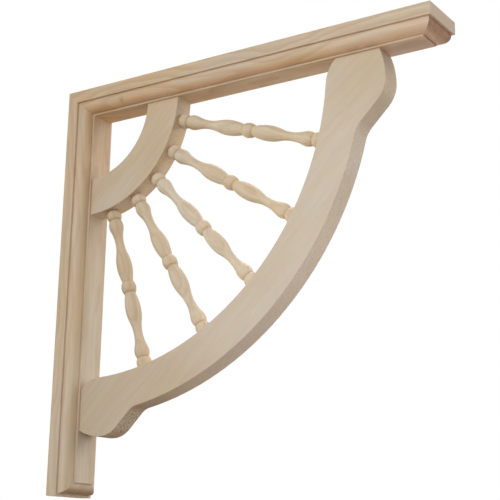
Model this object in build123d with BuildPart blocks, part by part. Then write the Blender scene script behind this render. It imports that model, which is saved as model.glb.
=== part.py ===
from build123d import *
from math import acos, cos, degrees, radians, sin, sqrt
import os

# A wooden porch bracket, in millimetres: two moulded legs mitred at the corner, a small arc in the corner,
# a large arc between the legs' far ends, and turned spindles fanned between the two arcs.
# X runs away from the wall, Z up from the top face, and Y across the width.
# The origin is on the outer corner, halfway across the width.

# Legs: each is one board, moulded along both edges and round its free end
leg_length = 609.6
leg_width = 76.2
edge_height = 18.2
ledge_width = 3.8
lip_height = 1.55
round_radius = 15.0
step_height = 2.5
arris = 0.8

# Arcs: both are sawn from one thickness of board, set back from the edge of the legs' flat inner face
# The large arc's inner edge stays a margin short of the legs' ends, then flares out to each foot
arc_setback = 3.43
arc_arris = 0.8
hub_inset = 34.0
hub_inner_radius = 104.4
hub_width = 56.1
brace_inset = 47.0
brace_width = 54.4
brace_margin = 165.9
inner_drift = 0.8
outer_drift = 2.6
top_flare_swing = 14.8
wall_flare_swing = 12.8
flare_radius = 50.0
top_foot_width = 67.0
wall_foot_width = 61.5
knuckle_swell = 9.0
top_knuckle_drop = 42.8
wall_knuckle_drop = 38.8
knuckle_radius = 40.0
knuckle_slope = 45.0
top_waist_radius = 36.0
wall_waist_radius = 25.0

# Spindles: all lie in the mid plane, on lines that fan out from one point near the corner
# The lines' angles below the top leg are as drilled, close to 14 degrees apart
fan_inset = 14.0
fan_angles = (17.4, 31.7, 45.4, 58.5, 73.1)
ring_length = 12.0
ring_radius = 10.9
ring_edge_radius = 9.8
quirk_length = 4.5
quirk_radius = 7.8
belly_radius = 11.35
neck_radius = 6.3
bulb_radius = 10.8
bead_length = 15.0
bead_radius = 11.0
shoulder_radius = 8.3
tenon_radius = 4.76
tenon_length = 19.0

# The long curve between a spindle's ring and its end bead keeps these proportions at any length
belly_share = 0.244
neck_share = 0.622
bulb_share = 0.910
belly_bend = 0.5
bulb_bend = 0.77

# Dowels that pin the corner and the arcs' ends
dowel_radius = 4.76
dowel_length = 38.1
dowel_chamfer = 1.0
corner_dowel_length = 30.0
corner_dowel_spacing = 32.0
hub_dowel_spacing = 28.0
brace_dowel_spacing = 32.0

# Clearances: round a pin in its bore, past its end, and between a spindle's shoulder and the arc
glue_gap = 0.1
end_gap = 1.0
seat_gap = 0.1

# Sizes that follow
leg_depth = edge_height + lip_height + round_radius + step_height
flat_width = leg_width - 2 * (ledge_width + round_radius)
arc_thickness = flat_width - 2 * arc_setback
hub_outer_radius = hub_inner_radius + hub_width
brace_reach = leg_length - brace_margin
brace_inner_radius = brace_reach - brace_inset
brace_outer_radius = brace_inner_radius + brace_width
hub_centre = Vector(hub_inset, -hub_inset)
inner_centre = Vector(brace_inset + inner_drift, inner_drift - brace_inset)
outer_centre = Vector(brace_inset + outer_drift, outer_drift - brace_inset)
fan_focus = Vector(fan_inset, -fan_inset)
diagonal = Vector(1, -1).normalized()

# The legs' flat inner faces, with x along the leg from the outer corner and z away from the leg
top_seat = Plane(origin=(0, 0, -leg_depth), x_dir=(1, 0, 0), z_dir=(0, 0, -1))
wall_seat = Plane(origin=(leg_depth, 0, 0), x_dir=(0, 0, -1), z_dir=(1, 0, 0))
seats = (top_seat, wall_seat)

# The mitre at the corner, facing the top leg, then the same plane as it lies in the arcs' side view
mitre = Plane(origin=(leg_depth / 2, 0, -leg_depth / 2), x_dir=(0, 1, 0), z_dir=(1, 0, 1))
mirror_line = Plane(origin=(0, 0), x_dir=(1, -1, 0), z_dir=(1, 1, 0))


# The moulded edge of a leg, drawn from the top face down to the inner face
def moulding(reach):
    edge = Line((reach, 0), (reach, -edge_height))
    ledge = Line(edge @ 1, edge @ 1 - Vector(ledge_width, 0))
    lip = Line(ledge @ 1, ledge @ 1 - Vector(0, lip_height))
    quarter_round = JernArc(lip @ 1, lip % 1, round_radius, -90)
    step = Line(quarter_round @ 1, quarter_round @ 1 - Vector(0, step_height))
    return step @ 1


with BuildPart() as top_leg:
    with BuildSketch(Plane.YZ) as section:
        with BuildLine():
            flat_edge = moulding(leg_width / 2)
            Line(flat_edge, (0, -leg_depth))
            Line((0, 0), (leg_width / 2, 0))
            mirror(about=Plane.YZ)
        make_face()
        sides = section.vertices().group_by(Axis.X)
        fillet(sides[0] + sides[-1], arris)
    extrude(amount=leg_length)
    with BuildSketch(Plane.XZ) as side_view:
        with BuildLine():
            flat_end = moulding(leg_length)
            Polyline(flat_end, (leg_depth, -leg_depth), (0, 0), (leg_length, 0))
        make_face()
        fillet(side_view.vertices().group_by(Axis.X)[-1], arris)
    extrude(amount=leg_width / 2, both=True, mode=Mode.INTERSECT)


# Where an arc's edge circle crosses the legs' inner face, measured along the leg
def crossing(inset, radius):
    return inset + sqrt(radius**2 - (leg_depth - inset) ** 2)


hub_seat = (crossing(hub_inset, hub_inner_radius) + crossing(hub_inset, hub_outer_radius)) / 2
foot_starts = (brace_reach + top_flare_swing, brace_reach + wall_flare_swing)
foot_ends = (foot_starts[0] + top_foot_width, foot_starts[1] + wall_foot_width)
brace_seat = (max(foot_starts) + min(foot_ends)) / 2


# How far along a spindle's line its shoulder seats on the small arc's outer edge
def hub_station(direction):
    offset = hub_centre - fan_focus
    lean = max(abs(offset.cross(direction).Z) - shoulder_radius, 0)
    return offset.dot(direction) + sqrt((hub_outer_radius + seat_gap) ** 2 - lean**2)


# How far along a spindle's line its shoulder seats on the large arc's inner edge
def brace_station(direction):
    offset = inner_centre - fan_focus
    lean = abs(offset.cross(direction).Z) + shoulder_radius
    return offset.dot(direction) + sqrt((brace_inner_radius - seat_gap) ** 2 - lean**2)


# The plane of one end of a spindle, where its shoulder stops, facing along the spindle
def shoulder(direction, station):
    origin = Plane.XZ.from_local_coords(fan_focus + direction * station)
    return Plane(origin=origin, x_dir=(0, 1, 0), z_dir=Plane.XZ.from_local_coords(direction))


directions = [Vector(cos(radians(angle)), -sin(radians(angle))) for angle in fan_angles]
hub_shoulders = [shoulder(along, hub_station(along)) for along in directions]
brace_shoulders = [shoulder(along, brace_station(along)) for along in directions]

bore_radius = tenon_radius + glue_gap
bore_depth = tenon_length + end_gap
dowel_bore_radius = dowel_radius + glue_gap


# Bores for a pair of dowels, drilled from each of the given planes away from its normal
def drill_dowels(planes, middle, spacing, length):
    for plane in planes:
        with Locations(plane), Locations((middle, 0)), GridLocations(spacing, 1, 2, 1):
            Hole(dowel_bore_radius, length / 2 + end_gap)


with top_leg:
    drill_dowels([top_seat], hub_seat, hub_dowel_spacing, dowel_length)
    drill_dowels([top_seat], brace_seat, brace_dowel_spacing, dowel_length)
    drill_dowels([-mitre], 0, corner_dowel_spacing, corner_dowel_length)

with BuildPart() as wall_leg:
    mirror(top_leg.part, about=mitre)


# Softens an arc's front and back edges, all but those that lie against the legs
def ease_arc(arc):
    outlines = arc.faces().filter_by(Axis.Y).edges()
    fillet(outlines.filter_by(Axis.X, reverse=True).filter_by(Axis.Z, reverse=True), arc_arris)


with BuildPart() as hub_arc:
    with BuildSketch(Plane.XZ):
        with Locations(hub_centre):
            Circle(hub_outer_radius)
            Circle(hub_inner_radius, mode=Mode.SUBTRACT)
        with Locations((leg_depth, -leg_depth)):
            Rectangle(leg_length, leg_length, align=(Align.MIN, Align.MAX), mode=Mode.INTERSECT)
    extrude(amount=arc_thickness / 2, both=True)
    ease_arc(hub_arc)
    with Locations(*hub_shoulders):
        Hole(bore_radius, bore_depth)
    drill_dowels([-seat for seat in seats], hub_seat, hub_dowel_spacing, dowel_length)


# The point that lines up with the given one across the bracket's mirror line
def across(point):
    return Vector(-point.Y, -point.X)


# Half of the large arc's outline, from its middle to one foot and back, drawn for the foot at the top leg
# The inner edge leaves its circle where a flare of the set radius touches it and ends at the foot
def brace_half(inner, outer, start, end, knuckle_drop):
    foot_start = Vector(start, -leg_depth)
    foot_end = Vector(end, -leg_depth)
    knuckle_peak = foot_end + Vector(knuckle_swell, -knuckle_drop)
    to_foot = foot_start - inner
    reach = brace_inner_radius + flare_radius
    turn = acos((to_foot.length**2 + reach**2 - flare_radius**2) / (2 * to_foot.length * reach))
    flare_start = inner + to_foot.normalized().rotate(Axis.Z, -degrees(turn)) * brace_inner_radius
    middle = Line((0, 0), diagonal * 2 * leg_length)
    inner_middle = CenterArc(inner, brace_inner_radius, -90, 90) & middle
    rim = CenterArc(outer, brace_outer_radius, -90, 90)
    with BuildLine() as half:
        RadiusArc(flare_start, inner_middle, brace_inner_radius)
        RadiusArc(foot_start, flare_start, -flare_radius)
        Line(foot_start, foot_end)
        TangentArc(knuckle_peak, foot_end, tangent=(0, 1))
        knuckle = JernArc(knuckle_peak, (0, -1), knuckle_radius, -knuckle_slope)
        slope = IntersectingLine(knuckle @ 1, knuckle % 1, rim)
        RadiusArc(slope @ 1, rim & middle, brace_outer_radius)
    return half.line, slope @ 1


# Its two edges are swung from centres a little off the mirror line, which widens it towards the top
with BuildPart() as brace_arc:
    top_start, wall_start = foot_starts
    top_end, wall_end = foot_ends
    top_half, top_waist = brace_half(inner_centre, outer_centre, top_start, top_end, top_knuckle_drop)
    wall_half, wall_waist = brace_half(
        across(inner_centre), across(outer_centre), wall_start, wall_end, wall_knuckle_drop
    )
    with BuildSketch(Plane.XZ) as outline:
        with BuildLine():
            add(top_half)
            mirror(wall_half, about=mirror_line)
        make_face()
        for waist, radius in ((top_waist, top_waist_radius), (across(wall_waist), wall_waist_radius)):
            fillet(outline.vertices().sort_by_distance(waist)[0], radius)
    extrude(amount=arc_thickness / 2, both=True)
    ease_arc(brace_arc)
    with Locations(*[-plane for plane in brace_shoulders]):
        Hole(bore_radius, bore_depth)
    drill_dowels([-seat for seat in seats], brace_seat, brace_dowel_spacing, dowel_length)


# An S of two arcs, level at both ends, that bends over at the given share of the way
def ogee(start, end, share):
    bend = start + (end - start) * share
    TangentArc(start, bend, tangent=(1, 0))
    TangentArc(end, bend, tangent=(-1, 0))


# Half of a spindle's turned outline, from the middle of its ring to the tip of its tenon
def spindle_half_outline(length):
    end = length / 2
    tip = end + tenon_length
    ring_edge = Vector(ring_length / 2, ring_edge_radius)
    quirk = Vector(ring_length / 2 + quirk_length, quirk_radius)
    groove = Vector(end - bead_length, shoulder_radius)
    run = groove.X - quirk.X
    belly = Vector(quirk.X + belly_share * run, belly_radius)
    neck = Vector(quirk.X + neck_share * run, neck_radius)
    bulb = Vector(quirk.X + bulb_share * run, bulb_radius)
    TangentArc((0, ring_radius), ring_edge, tangent=(1, 0))
    Line(ring_edge, quirk)
    TangentArc(belly, quirk, tangent=(-1, 0))
    ogee(belly, neck, belly_bend)
    ogee(neck, bulb, bulb_bend)
    TangentArc(bulb, groove, tangent=(1, 0))
    ThreePointArc(groove, (end - bead_length / 2, bead_radius), (end, shoulder_radius))
    Polyline((end, shoulder_radius), (end, tenon_radius), (tip, tenon_radius), (tip, 0), (0, 0))


# A spindle turned to fit between its two shoulder planes
def turn_spindle(inner, outer):
    length = (outer.origin - inner.origin).length
    middle = (inner.origin + outer.origin) / 2
    with BuildPart() as spindle:
        with BuildSketch(Plane(origin=middle, x_dir=inner.z_dir, z_dir=(0, -1, 0))):
            with BuildLine():
                spindle_half_outline(length)
                mirror(about=Plane.YZ)
            make_face()
        revolve(axis=Axis(middle, inner.z_dir))
    return spindle


spindles = [turn_spindle(inner, outer) for inner, outer in zip(hub_shoulders, brace_shoulders)]


# A pair of dowels across each of the given planes
def dowel_pairs(planes, middle, spacing, length):
    with BuildPart() as dowels:
        for plane in planes:
            with Locations(plane), Locations((middle, 0)), GridLocations(spacing, 1, 2, 1):
                Cylinder(dowel_radius, length)
        chamfer(dowels.edges().filter_by(GeomType.CIRCLE), dowel_chamfer)
    return dowels


corner_dowels = dowel_pairs([mitre], 0, corner_dowel_spacing, corner_dowel_length)
hub_dowels = dowel_pairs(seats, hub_seat, hub_dowel_spacing, dowel_length)
brace_dowels = dowel_pairs(seats, brace_seat, brace_dowel_spacing, dowel_length)

pieces = {
    "top_leg": top_leg,
    "wall_leg": wall_leg,
    "hub_arc": hub_arc,
    "brace_arc": brace_arc,
    "corner_dowels": corner_dowels,
    "hub_dowels": hub_dowels,
    "brace_dowels": brace_dowels,
}
for number, spindle in enumerate(spindles, start=1):
    pieces[f"spindle_{number}"] = spindle

os.makedirs("parts", exist_ok=True)
for name, piece in pieces.items():
    piece.part.label = name
    export_step(piece.part, f"parts/{name}.step")
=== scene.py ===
import bpy
from math import cos, radians, sin
from mathutils import Matrix, Vector


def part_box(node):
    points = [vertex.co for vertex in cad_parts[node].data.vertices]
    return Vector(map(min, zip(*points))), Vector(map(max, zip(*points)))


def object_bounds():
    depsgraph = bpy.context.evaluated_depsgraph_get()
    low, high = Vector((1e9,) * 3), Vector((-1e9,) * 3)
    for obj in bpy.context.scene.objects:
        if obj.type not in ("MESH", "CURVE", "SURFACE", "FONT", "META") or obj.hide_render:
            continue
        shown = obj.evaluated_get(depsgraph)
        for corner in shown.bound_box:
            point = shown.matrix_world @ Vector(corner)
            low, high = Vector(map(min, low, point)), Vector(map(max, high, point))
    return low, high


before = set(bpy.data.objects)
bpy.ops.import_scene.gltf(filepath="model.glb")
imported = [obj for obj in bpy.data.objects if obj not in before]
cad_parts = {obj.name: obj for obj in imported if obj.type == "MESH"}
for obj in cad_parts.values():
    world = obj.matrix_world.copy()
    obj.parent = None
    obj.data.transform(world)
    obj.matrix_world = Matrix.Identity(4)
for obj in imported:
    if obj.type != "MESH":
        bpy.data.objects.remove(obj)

# Wooden porch bracket: bare pale hardwood, sanded but not finished
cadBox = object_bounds()
lowCorner, highCorner = cadBox
middle = (lowCorner + highCorner) / 2
scene = bpy.context.scene
scene.view_settings.view_transform = "Standard"
print("frame loaded:", len(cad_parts), "nodes")


# Shader helpers
class Value:  # one socket of a shader tree, so that sums and products of values read as plain maths
    def __init__(self, recipe, socket):
        self.recipe, self.socket = recipe, socket

    def __add__(self, other):
        return self.recipe.maths("ADD", self, other)

    def __radd__(self, other):
        return self.recipe.maths("ADD", other, self)

    def __sub__(self, other):
        return self.recipe.maths("SUBTRACT", self, other)

    def __rsub__(self, other):
        return self.recipe.maths("SUBTRACT", other, self)

    def __mul__(self, other):
        return self.recipe.maths("MULTIPLY", self, other)

    def __rmul__(self, other):
        return self.recipe.maths("MULTIPLY", other, self)

    def __abs__(self):
        return self.recipe.maths("ABSOLUTE", self)


class Recipe:  # a material under construction
    def __init__(self, name):
        self.material = bpy.data.materials.new(name)
        self.material.use_nodes = True
        self.tree = self.material.node_tree
        self.tree.nodes.clear()

    def add(self, kind, settings=None, inputs=None, output=0):
        node = self.tree.nodes.new(kind)
        for setting, value in (settings or {}).items():
            setattr(node, setting, value)
        for key, value in (inputs or {}).items():
            socket = self.find(node.inputs, key)
            if isinstance(value, Value):
                self.tree.links.new(value.socket, socket)
            else:
                socket.default_value = value
        return Value(self, self.find(node.outputs, output)) if node.outputs else None

    def find(self, sockets, key):
        if isinstance(key, int):
            return sockets[key]
        return next(socket for socket in sockets if key in (socket.identifier, socket.name))

    def maths(self, operation, *terms):
        return self.add("ShaderNodeMath", {"operation": operation}, dict(enumerate(terms)))

    def vector(self, operation, *terms):
        return self.add("ShaderNodeVectorMath", {"operation": operation}, dict(enumerate(terms)))

    def dot(self, first, second):
        settings = {"operation": "DOT_PRODUCT"}
        return self.add("ShaderNodeVectorMath", settings, {0: first, 1: second}, "Value")

    def length(self, vector):
        return self.add("ShaderNodeVectorMath", {"operation": "LENGTH"}, {0: vector}, "Value")

    def noise(self, place, scale, detail=2, roughness=0.5):
        stretched = self.vector("MULTIPLY", place, scale)
        inputs = {"Vector": stretched, "Scale": 1, "Detail": detail, "Roughness": roughness}
        return self.add("ShaderNodeTexNoise", {"noise_dimensions": "3D"}, inputs, "Fac")

    def step(self, value, low, high):  # 0 below low, 1 above high, smooth between
        settings = {"interpolation_type": "SMOOTHSTEP"}
        return self.add("ShaderNodeMapRange", settings, {"Value": value, "From Min": low, "From Max": high})

    def between(self, value, start, end):  # 1 from the end of one step to the beginning of the next
        return self.step(value, *start) * (1 - self.step(value, *end))

    def blend(self, amount, first, second, mode="MIX"):
        settings = {"data_type": "RGBA", "blend_type": mode}
        inputs = {"Factor_Float": amount, "A_Color": first, "B_Color": second}
        return self.add("ShaderNodeMix", settings, inputs, "Result_Color")


# Bare hardwood: every piece is cut from its own blank, with its own grain direction and place in the log
bareWood = {
    "pale": (0.600, 0.485, 0.365, 1),
    "pink": (0.600, 0.445, 0.345, 1),
    "honey": (0.585, 0.425, 0.265, 1),
    "lateWood": (0.430, 0.280, 0.160, 1),   # the darker line that closes each year's growth
    "poreColour": (0.330, 0.215, 0.130, 1),
    "endTone": (0.560, 0.440, 0.350, 1),    # sawn across the grain
    "tint": (1, 1, 1, 1),
    "warmth": 0.5,                          # how much of the piece turns honey coloured
    "blush": 0.5,                           # and how much turns pink
    "pith": (0, 0.03, 0.09),                # the log's centre, in the blank's own directions
    "ringsPerMetre": 150,
    "ringWander": 0.06,                     # metres that a ring strays as it goes along the log
    "ringTaper": 0.02,                      # how much the log's length adds to a ring's radius
    "ringContrast": 0.34,
    "ringEvenness": 0.2,                    # keeps the rings where the streaks would fade them
    "streakContrast": 0.24,
    "fibreContrast": 0.12,
    "poreContrast": 0.20,
    "endContrast": 0.8,
    "endSpeckle": 0.45,
    "roughness": 0.62,
    "streakRoughness": 0.10,
    "endRoughness": 0.15,
    "specular": 0.3,
    "bumpStrength": 0.5,
    "bumpHeight": 0.00004,                  # metres
    "fibreRise": 0.5,                       # shares of that height
    "poreDepth": 0.8,
}
grainChanges = {                            # per metre: with the grain, across it, and through the blank
    "wander": (3.5, 9, 9),
    "patches": (6, 40, 40),
    "blush": (4, 60, 60),
    "streaks": (12, 260, 260),
    "fibres": (70, 2000, 2000),
    "pores": (190, 3000, 3000),
    "endSpeckle": (500, 900, 900),
    "flutter": (40, 700, 60),               # the router's marks
}
grainShows = {                              # where each mark starts to show, and where it shows in full
    "patches": (0.38, 0.62),
    "blush": (0.40, 0.62),
    "pores": (0.66, 0.74),
    "flutter": (0.40, 0.60),
    "endSpeckle": (0.30, 0.70),
    "endGrain": (0.30, 0.95),
    "lateWood": (0.25, 0.92),               # shares of a year's growth
    "newYear": (0.92, 1.0),                 # where the next year's pale wood takes over
}
noiseMiddle = 0.5                           # every noise runs from 0 to 1


class Wood(Recipe):  # clear wood, kept open as "tone" and "relief" for a piece's own marks
    def __init__(self, nodeName, along, look):
        super().__init__(nodeName + "Wood")
        self.look = look
        self.lengthwise = Vector(along).normalized()
        self.sideways = Vector((0, 1, 0))
        self.place = self.add("ShaderNodeTexCoord", output="Object")
        self.facing = self.add("ShaderNodeNewGeometry", output="Normal")
        self.layGrain()
        self.cutEnds()

    def tint(self, amount, colour, mode="MULTIPLY"):
        self.tone = self.blend(amount, self.tone, colour, mode)

    def mark(self, name, detail=2):
        return self.step(self.noise(self.board, grainChanges[name], detail), *grainShows[name])

    def layGrain(self):
        look = self.look
        directions = (self.lengthwise, self.sideways, self.lengthwise.cross(self.sideways))
        parts = [self.dot(self.place, tuple(direction)) for direction in directions]
        turned = self.add("ShaderNodeCombineXYZ", inputs=dict(enumerate(parts)))
        self.board = self.vector("ADD", turned, look["logPlace"])    # metres in the log, x with the grain

        # Year rings: cylinders about the pith, which wanders slowly along the log
        wander = self.noise(self.board, grainChanges["wander"], detail=3)
        fromPith = self.vector("SUBTRACT", self.board, look["pith"])
        outward = self.vector("MULTIPLY", fromPith, (look["ringTaper"], 1, 1))
        distance = self.length(outward) + wander * look["ringWander"]
        year = self.maths("FRACT", distance * look["ringsPerMetre"])
        rings = self.between(year, grainShows["lateWood"], grainShows["newYear"])

        patches = self.mark("patches", detail=3)
        blush = self.mark("blush")
        pores = self.mark("pores", detail=1)
        fibres = self.noise(self.board, grainChanges["fibres"])
        self.streaks = self.noise(self.board, grainChanges["streaks"], detail=3, roughness=0.6)

        self.tone = self.blend(patches * look["warmth"], look["pale"], look["honey"])
        self.tint(blush * look["blush"], look["pink"], "MIX")
        ringDepth = rings * look["ringContrast"] * (self.streaks + look["ringEvenness"])
        self.tint(ringDepth, look["lateWood"], "MIX")
        fibreShade = (fibres - noiseMiddle) * look["fibreContrast"]
        streakShade = (self.streaks - noiseMiddle) * look["streakContrast"]
        scaling = {0: self.tone, "Scale": 1 + fibreShade + streakShade}
        self.tone = self.add("ShaderNodeVectorMath", {"operation": "SCALE"}, scaling)
        self.tint(pores * look["poreContrast"], look["poreColour"], "MIX")
        self.tint(1, look["tint"])
        self.relief = fibres * look["fibreRise"] - pores * look["poreDepth"]

    def cutEnds(self):  # where the saw went across the grain the wood is darker and speckled
        look = self.look
        crossing = abs(self.dot(self.facing, tuple(self.lengthwise)))
        self.endGrain = self.step(crossing, *grainShows["endGrain"])
        speckle = self.noise(self.board, grainChanges["endSpeckle"], roughness=0.7)
        speckleDepth = self.step(speckle, *grainShows["endSpeckle"]) * look["endSpeckle"]
        endTone = self.blend(speckleDepth, look["endTone"], look["lateWood"])
        self.tint(self.endGrain * look["endContrast"], endTone, "MIX")
        self.relief = self.relief + self.endGrain * speckle

    def finish(self):
        look = self.look
        streakRoughness = (self.streaks - noiseMiddle) * look["streakRoughness"]
        roughness = look["roughness"] + streakRoughness + self.endGrain * look["endRoughness"]
        bump = {"Strength": look["bumpStrength"], "Distance": look["bumpHeight"], "Height": self.relief}
        surface = {
            "Base Color": self.tone,
            "Roughness": roughness,
            "Normal": self.add("ShaderNodeBump", inputs=bump, output="Normal"),
            "Specular IOR Level": look["specular"],
        }
        shader = self.add("ShaderNodeBsdfPrincipled", inputs=surface)
        self.add("ShaderNodeOutputMaterial", inputs={"Surface": shader})
        return self.material


def dress(nodeName, wood):
    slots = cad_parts[nodeName].data.materials
    slots.clear()
    slots.append(wood.finish())


# Legs: the router leaves the moulding browner than the planed front, most of all across the grain
legLook = {
    **bareWood,
    "warmth": 0.7,
    "ringsPerMetre": 120,
    "ringContrast": 0.50,
    "streakContrast": 0.34,
    "heartStreaks": (0.42, 0.60),           # the streaks that carry most of the heartwood's colour
    "heartStreakDepth": 1.1,
    "heartDepth": 0.35,                     # the rest of it lies evenly
    "heartLostInside": 0.5,                 # the inner face has less
    "ledge": 0.0182,                        # from the back to the ledge where the moulding starts
    "ledgeBlur": 0.0002,
    "roundTurn": (0.0250, 0.0340),          # where the round turns inward
    "roundEnd": (0.0344, 0.0348),           # and where it stops at a small step
    "scorch": (0.70, 0.52, 0.42, 1),        # routed end grain
    "scorchStreaks": (0.62, 0.50, 0.42, 1),
    "scorchStreakDepth": 0.6,
}
topLegLook = {
    **legLook,
    "logPlace": (0.30, 0.01, 0.02),
    "innerPaintedShade": (0.98, 0.90, 0.79, 1),    # painted shade on the inner face near the corner, and painted light far from it
    "innerPaintedLight": (1.12, 1.08, 1.15, 1),
    "inwardFade": (0.40, 0.58),             # metres from the corner
    "roundTint": (1.02, 1.02, 1.05, 1),
    "burnish": (1.09, 1.00, 0.93, 1),
    "heartTint": (1.06, 0.96, 0.82, 1),     # the honey coloured heartwood near the corner
    "heartFade": (0.05, 0.35),
}
wallLegLook = {
    **legLook,
    "logPlace": (1.70, 0.02, 0.05),
    "warmth": 0.4,
    "ringContrast": 0.40,
    "streakContrast": 0.36,
    "tint": (0.99, 0.96, 0.92, 1),
    "scorch": (0.80, 0.64, 0.50, 1),
    # painted shade on the inner face near the corner, and painted light further out
    "innerPaintedShade": (0.97, 0.98, 0.96, 1),
    "innerPaintedLight": (0.97, 1.03, 1.11, 1),
    "inwardFade": (0.10, 0.25),
    "roundTint": (1.09, 1.11, 1.14, 1),
    "burnish": (0.99, 0.93, 0.84, 1),
    "heartTint": (1.03, 0.97, 0.91, 1),
    "heartFade": (0.00, 0.50),
}
knotLook = {
    "place": (0.100, -0.031, -0.0285),
    "radius": 0.0022,
    "swirl": 0.009,                         # metres out to where the grain runs past it
    "core": (0.250, 0.130, 0.060, 1),
    "coreDepth": 0.7,
    "coreStart": 0.3,                       # share of the radius that is darkest
    "halo": (0.480, 0.300, 0.160, 1),
    "haloDepth": 0.5,
}


def cutLeg(nodeName, along, inward, look):
    wood = Wood(nodeName, along, look)
    depth = wood.dot(wood.place, inward)
    reach = abs(wood.dot(wood.place, tuple(wood.lengthwise)))

    # Painted shade on the inner face near the corner and painted light further along it, and heartwood shows
    # towards the corner
    inwardness = wood.maths("MAXIMUM", wood.dot(wood.facing, inward), 0)
    innerPaintedLightAndShade = wood.blend(wood.step(reach, *look["inwardFade"]), look["innerPaintedShade"], look["innerPaintedLight"])
    wood.tint(inwardness, innerPaintedLightAndShade)
    heartStreaks = wood.step(wood.streaks, *look["heartStreaks"]) * look["heartStreakDepth"]
    heart = (1 - wood.step(reach, *look["heartFade"])) * (heartStreaks + look["heartDepth"])
    wood.tint((1 - inwardness * look["heartLostInside"]) * heart, look["heartTint"])

    # The moulding: its round is burnished where it turns inward, and its end grain is scorched
    routed = wood.step(depth, look["ledge"] - look["ledgeBlur"], look["ledge"] + look["ledgeBlur"])
    rounded = routed * (1 - wood.step(depth, *look["roundEnd"])) * (1 - wood.endGrain)
    turned = wood.step(depth, *look["roundTurn"])
    wood.tint(rounded, wood.blend(turned, look["roundTint"], look["burnish"]))
    scorched = routed * wood.endGrain
    flutter = wood.mark("flutter", detail=3)
    wood.tint(scorched, look["scorch"])
    wood.tint(scorched * flutter * look["scorchStreakDepth"], look["scorchStreaks"])
    return wood


def addKnot(wood, knot):
    away = wood.length(wood.vector("SUBTRACT", wood.place, knot["place"]))
    halo = 1 - wood.step(away, knot["radius"], knot["swirl"])
    core = 1 - wood.step(away, knot["radius"] * knot["coreStart"], knot["radius"])
    wood.tint(halo * knot["haloDepth"], knot["halo"], "MIX")
    wood.tint(core * knot["coreDepth"], knot["core"], "MIX")


topLeg = cutLeg("top_leg", (1, 0, 0), (0, 0, -1), topLegLook)
addKnot(topLeg, knotLook)
dress("top_leg", topLeg)
dress("wall_leg", cutLeg("wall_leg", (0, 0, 1), (1, 0, 0), wallLegLook))
print("legs dressed")

# Arcs: both are sawn from blanks with the grain along the chord. The large one is paler between its feet
chord = (1, 0, 1)
arcLook = {
    **bareWood,
    "sawnTurn": (0.3, 0.7),                 # how far a surface faces the front or back, from sawn to planed
    "sawSpeckle": (0.90, 0.86, 0.82, 1),
    "speckleChanges": (560, 560, 560),      # per metre
    "speckleShows": (0.42, 0.62),
}
hubLook = {
    **arcLook,
    "logPlace": (3.10, 0.00, 0.03),
    "warmth": 0.8,
    "blush": 0.3,
    "ringContrast": 0.07,
    "ringsPerMetre": 210,
    "edgeTint": (1.08, 1.10, 1.10, 1),      # the bandsawn edges
}
braceLook = {
    **arcLook,
    "logPlace": (4.30, 0.02, 0.60),
    "warmth": 0.35,
    "ringContrast": 0.12,
    "streakContrast": 0.16,
    "ringsPerMetre": 85,
    "footTint": (0.94, 0.935, 0.90, 1),
    "paleTint": (1.03, 1.07, 1.15, 1),
    "paleStart": (-0.20, -0.06),            # metres along the chord from its middle, as the fades are
    "paleEnd": (0.20, 0.34),
    "edgeTint": (1.06, 1.09, 1.11, 1),
    "paleEdgeTint": (1.20, 1.20, 1.20, 1),
    "paleEdgeStart": (-0.22, -0.14),
    "paleEdgeEnd": (0.06, 0.19),
    "lowEdgeEndGrainAndShade": (0.79, 0.68, 0.59, 1),   # painted shade on the underside towards the wall foot, together with its darker sawn end grain
    "lowEdgeTurn": (0.55, 0.95),            # how squarely a surface has to face that way
    "lowEdgeFade": (-0.26, -0.18),
    "tornFacing": (0.74, 0, -0.67),         # the wall knuckle's slope, where the saw tore the wood
    "tornTurn": (0.92, 0.98),
    "tornFade": (-0.27, -0.24),
    "tornTint": (1.13, 1.20, 1.21, 1),
    "tornDots": (0.60, 0.55, 0.50, 1),
    "dotChanges": (460, 460, 460),
    "dotShows": (0.49, 0.57),
}


def sawArc(nodeName, look):
    wood = Wood(nodeName, chord, look)
    frontness = abs(wood.dot(wood.facing, tuple(wood.sideways)))
    wood.sawn = 1 - wood.step(frontness, *look["sawnTurn"])
    speckle = wood.step(wood.noise(wood.place, look["speckleChanges"], detail=1), *look["speckleShows"])
    wood.tint(wood.sawn, look["edgeTint"])
    wood.tint(wood.sawn * speckle, look["sawSpeckle"])
    return wood


def shadeBrace(wood):
    look = wood.look
    station = wood.dot(wood.place, tuple(wood.lengthwise))
    paleness = wood.between(station, look["paleStart"], look["paleEnd"])
    edgePaleness = wood.between(station, look["paleEdgeStart"], look["paleEdgeEnd"])
    wood.tint(1, wood.blend(paleness, look["footTint"], look["paleTint"]))
    wood.tint(wood.sawn * edgePaleness, look["paleEdgeTint"])
    # Painted shade on surfaces facing down near the wall foot, together with the darker tone of the sawn end
    # grain
    underside = wood.step(wood.dot(wood.facing, (0, 0, -1)), *look["lowEdgeTurn"])
    wood.tint(underside * (1 - wood.step(station, *look["lowEdgeFade"])), look["lowEdgeEndGrainAndShade"])
    slope = wood.step(wood.dot(wood.facing, look["tornFacing"]), *look["tornTurn"])
    torn = slope * (1 - wood.step(station, *look["tornFade"]))
    dots = wood.step(wood.noise(wood.place, look["dotChanges"], detail=0), *look["dotShows"])
    wood.tint(torn, look["tornTint"])
    wood.tint(torn * dots, look["tornDots"])
    return wood


dress("hub_arc", sawArc("hub_arc", hubLook))
dress("brace_arc", shadeBrace(sawArc("brace_arc", braceLook)))
print("arcs dressed")

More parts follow.
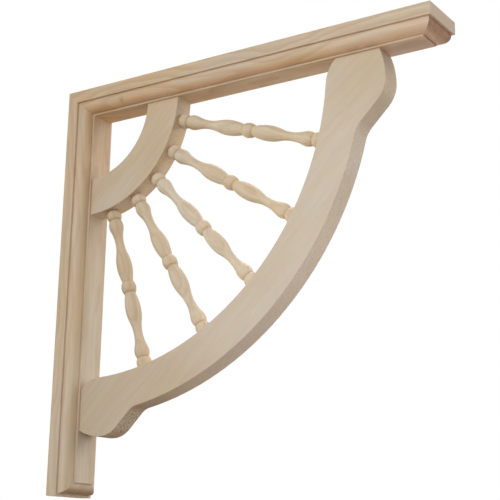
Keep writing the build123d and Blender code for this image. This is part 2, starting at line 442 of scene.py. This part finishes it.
# Spindles and dowels: each is turned from its own straight-grained square
spindleLook = {
    **bareWood,
    "logPlace": (7, 0, 0.05),
    "logStep": 0.1,                         # metres across the log to the next one
    "blush": 0.25,
    "ringContrast": 0.38,
    "streakContrast": 0.42,
    "fibreContrast": 0.26,
    "ringsPerMetre": 190,
    "endTone": (0.52, 0.36, 0.24, 1),
}
spindleTints = (                            # from the top leg down
    (1.11, 1.14, 1.13, 1),
    (1.14, 1.16, 1.17, 1),
    (1.16, 1.21, 1.26, 1),
    (1.09, 1.09, 1.07, 1),
    (1.03, 1.02, 1.00, 1),
)
grooveLook = {
    "colour": (0.86, 0.73, 0.60, 1),        # painted shade in the turned grooves
    "width": 0.0016,
    "besideRing": 0.0085,                   # metres from the spindle's middle
    "besideBead": 0.0150,                   # metres from its shoulders
    "tenon": 0.0190,                        # metres beyond each shoulder
    "middleRing": (1.01, 0.97, 0.95, 1),    # the ring between the two middle grooves is a little pinker
}
dowelLook = {**bareWood, "logPlace": (13, 0.1, 0.1), "logStep": 0, "warmth": 0.3}


def nextSquare(look, number):  # each a metre further along the log, so that no two share their grain
    along, across, through = look["logPlace"]
    return {**look, "logPlace": (along + number, across + look["logStep"] * number, through)}


def turnSpindle(nodeName, look):
    low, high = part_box(nodeName)
    axis = Vector((high.x - low.x, 0, low.z - high.z)).normalized()
    stations = [corner.co.dot(axis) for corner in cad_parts[nodeName].data.vertices]
    centre = (min(stations) + max(stations)) / 2
    shoulder = (max(stations) - min(stations)) / 2 - grooveLook["tenon"]
    wood = Wood(nodeName, axis, look)
    station = abs(wood.dot(wood.place, tuple(axis)) - centre)
    ringHalf = grooveLook["besideRing"]
    wood.tint(1 - wood.step(station, ringHalf - grooveLook["width"], ringHalf), grooveLook["middleRing"])
    # Painted shade darkens each groove
    for groove in (ringHalf, shoulder - grooveLook["besideBead"], shoulder):
        away = abs(station - groove)
        wood.tint(1 - wood.step(away, 0, grooveLook["width"]), grooveLook["colour"])
    return wood


spindleNames = sorted(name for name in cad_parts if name.startswith("spindle_"))
for number, (nodeName, tint) in enumerate(zip(spindleNames, spindleTints)):
    dress(nodeName, turnSpindle(nodeName, nextSquare({**spindleLook, "tint": tint}, number)))
for number, nodeName in enumerate(("corner_dowels", "hub_dowels", "brace_dowels")):
    dress(nodeName, Wood(nodeName, (0, 0, 1), nextSquare(dowelLook, number)))
print("spindles and dowels dressed")

# Plain pale floor, well below the bracket, which hangs from its wall
floorPlan = {"drop": 1.0, "size": 14.0, "colour": (0.80, 0.79, 0.77, 1), "roughness": 0.8}


def makeFloor():
    recipe = Recipe("paleFloor")
    surface = {"Base Color": floorPlan["colour"], "Roughness": floorPlan["roughness"]}
    shader = recipe.add("ShaderNodeBsdfPrincipled", inputs=surface)
    recipe.add("ShaderNodeOutputMaterial", inputs={"Surface": shader})
    mesh = bpy.data.meshes.new("floor")
    half = floorPlan["size"] / 2
    level = lowCorner.z - floorPlan["drop"]
    corners = [(x * half, y * half, level) for x, y in ((-1, -1), (1, -1), (1, 1), (-1, 1))]
    mesh.from_pydata(corners, [], [(0, 1, 2, 3)])
    mesh.materials.append(recipe.material)
    floor = bpy.data.objects.new("floor", mesh)
    scene.collection.objects.link(floor)
    floor.visible_diffuse = False    # it neither tints the wood nor stops the light from below
    floor.visible_shadow = False


makeFloor()

# Studio light: soft from nearly all round, strongest from above and behind, as on a white sweep. Directions
# are in degrees: "side" turns from +X towards +Y, and "height" is above the level
studio = {
    "backdrop": 1.0,             # how bright the white behind the bracket is
    "skylightSpread": 50,        # degrees across, so that every shadow is soft
    "skylightDistance": 2,
}
softboxes = {
    "front": {"place": (0.35, -1.20, -0.30), "size": 0.8, "watts": 4.19, "colour": (1.13, 1.00, 0.86)},
    "frontRight": {"place": (1.15, -0.85, -0.30), "size": 0.8, "watts": 3.88, "colour": (1.01, 1.00, 1.00)},
}
skylights = {
    "overhead": {"side": 135, "height": 55, "strength": 2.62, "colour": (1.03, 1.00, 0.93)},
    "aboveRight": {"side": 8, "height": 45, "strength": 0.86, "colour": (0.97, 1.00, 1.03)},
    "rearRight": {"side": 45, "height": 18, "strength": 1.62, "colour": (0.97, 1.00, 0.97)},
    "rearLow": {"side": 90, "height": -18, "strength": 0.98, "colour": (1.14, 1.00, 0.86)},
    "leftLow": {"side": 180, "height": -18, "strength": 1.70, "colour": (1.03, 1.00, 0.92)},
    "below": {"side": 45, "height": -55, "strength": 0.53, "colour": (1.10, 1.00, 0.92)},
    "frontHigh": {"side": -90, "height": 18, "strength": 1.10, "colour": (0.85, 1.00, 1.05)},
    "frontLeft": {"side": -135, "height": 18, "strength": 0.63, "colour": (0.89, 1.00, 1.03)},
}


def makeBackdrop():  # white where the camera sees it, and no light of its own
    world = bpy.data.worlds.new("studio")
    world.use_nodes = True
    scene.world = world
    tree = world.node_tree
    tree.nodes.clear()
    path = tree.nodes.new("ShaderNodeLightPath")
    strength = tree.nodes.new("ShaderNodeMath")
    backdrop = tree.nodes.new("ShaderNodeBackground")
    output = tree.nodes.new("ShaderNodeOutputWorld")
    strength.operation = "MULTIPLY"
    strength.inputs[1].default_value = studio["backdrop"]
    backdrop.inputs["Color"].default_value = (1, 1, 1, 1)
    tree.links.new(path.outputs["Is Camera Ray"], strength.inputs[0])
    tree.links.new(strength.outputs[0], backdrop.inputs["Strength"])
    tree.links.new(backdrop.outputs[0], output.inputs["Surface"])


def hang(name, lamp, place, target):
    holder = bpy.data.objects.new(name, lamp)
    scene.collection.objects.link(holder)
    holder.location = place
    holder.rotation_euler = (target - holder.location).to_track_quat("-Z", "Y").to_euler()


makeBackdrop()
for name, box in softboxes.items():
    lamp = bpy.data.lights.new(name, "AREA")
    lamp.size = box["size"]
    lamp.energy = box["watts"]
    lamp.color = box["colour"]
    hang(name, lamp, box["place"], middle)
for name, sky in skylights.items():
    lamp = bpy.data.lights.new(name, "SUN")
    lamp.angle = radians(studio["skylightSpread"])
    lamp.energy = sky["strength"]
    lamp.color = sky["colour"]
    side, height = radians(sky["side"]), radians(sky["height"])
    source = Vector((cos(side) * cos(height), sin(side) * cos(height), sin(height)))
    hang(name, lamp, middle + source * studio["skylightDistance"], middle)
print("floor and light placed")

# Camera: below the bracket's middle and to its right, looking up and in
cameraSetup = {
    "place": (1.1954, -1.3122, -0.6914),
    "azimuth": 33.835,       # degrees, 0 looks along +Y
    "elevation": -14.539,    # degrees above the bracket, so it stands below and looks up
    "roll": 1.035,
    "lens": 85.79,
    "sensor": 36,
}


def makeCamera():
    azimuth, elevation = radians(cameraSetup["azimuth"]), radians(cameraSetup["elevation"])
    ahead = Vector((-sin(azimuth) * cos(elevation), cos(azimuth) * cos(elevation), -sin(elevation)))
    turn = ahead.to_track_quat("-Z", "Y").to_matrix() @ Matrix.Rotation(radians(cameraSetup["roll"]), 3, "Z")
    lens = bpy.data.cameras.new("camera")
    lens.lens, lens.sensor_width = cameraSetup["lens"], cameraSetup["sensor"]
    camera = bpy.data.objects.new("camera", lens)
    scene.collection.objects.link(camera)
    camera.location = cameraSetup["place"]
    camera.rotation_euler = turn.to_euler()
    scene.camera = camera


makeCamera()
print("camera set")
